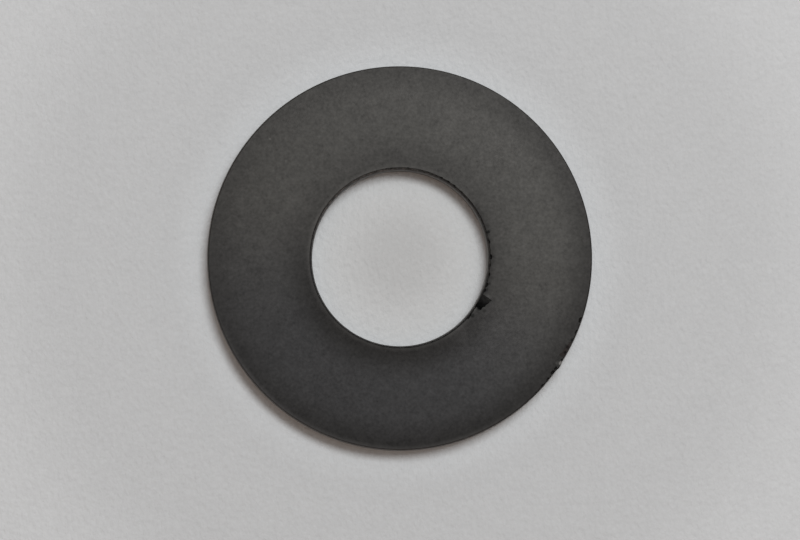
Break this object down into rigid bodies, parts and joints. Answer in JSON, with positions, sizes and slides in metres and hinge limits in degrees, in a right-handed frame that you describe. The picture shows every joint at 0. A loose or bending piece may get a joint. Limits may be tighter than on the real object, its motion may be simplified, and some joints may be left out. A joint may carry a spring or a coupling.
{
  "type": "washer",
  "caption": "Flat round steel washer, dark finish, with a plain central bore, punched edges, and a chip in its bore and its rim.",
  "frame": {"origin": "centre of the underside, on the axis of the bore", "axes": "+Z along the bore's axis, out of the upper face; the bore's chip lies about 30 degrees clockwise of +X seen from above"},
  "size_m": [0.014, 0.014, 0.0012],
  "materials": {
    "dark_steel": "dull, finely mottled dark grey oxide finish, tumbled, nearly black at the torn edges"
  },
  "bodies": {
    "root": {"washer": "dark_steel"}
  },
  "joints": []
}
